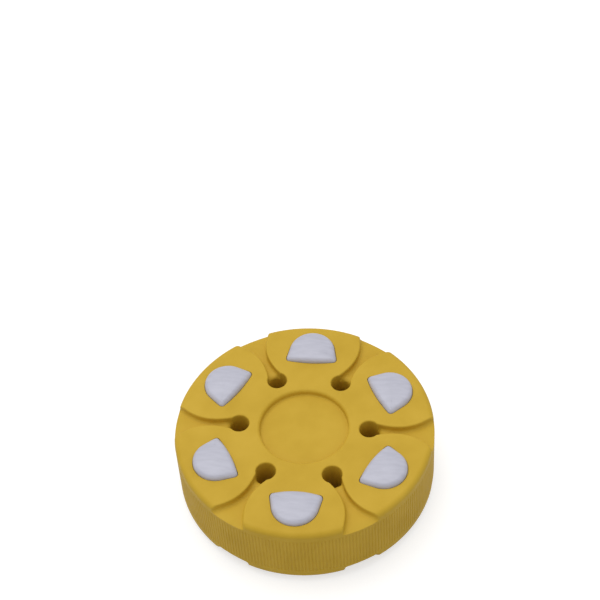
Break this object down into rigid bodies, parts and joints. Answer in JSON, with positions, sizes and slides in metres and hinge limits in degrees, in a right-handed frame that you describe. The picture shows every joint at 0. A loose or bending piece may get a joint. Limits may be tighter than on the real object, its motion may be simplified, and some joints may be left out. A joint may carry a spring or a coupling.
{
  "type": "hockey puck",
  "caption": "Round soft plastic roller and street hockey puck with smooth hard glides, fanned channels and vent holes on both faces and a ribbed side wall.",
  "frame": {"origin": "middle of the surface that the lower glides stand on, on the puck's axis", "axes": "+Z along the puck's axis, upwards; +Y through the first pair of glides"},
  "size_m": [0.0762, 0.0762, 0.0254],
  "materials": {
    "soft_pvc": "soft moulded PVC, mustard yellow, matt with a faint sheen",
    "glide_plastic": "moulded acetal, white, smooth semi-gloss"
  },
  "bodies": {
    "root": {"body": "soft_pvc", "upper_glide_1": "glide_plastic", "upper_glide_2": "glide_plastic", "upper_glide_3": "glide_plastic", "upper_glide_4": "glide_plastic", "upper_glide_5": "glide_plastic", "upper_glide_6": "glide_plastic", "lower_glide_1": "glide_plastic", "lower_glide_2": "glide_plastic", "lower_glide_3": "glide_plastic", "lower_glide_4": "glide_plastic", "lower_glide_5": "glide_plastic", "lower_glide_6": "glide_plastic"}
  },
  "joints": []
}
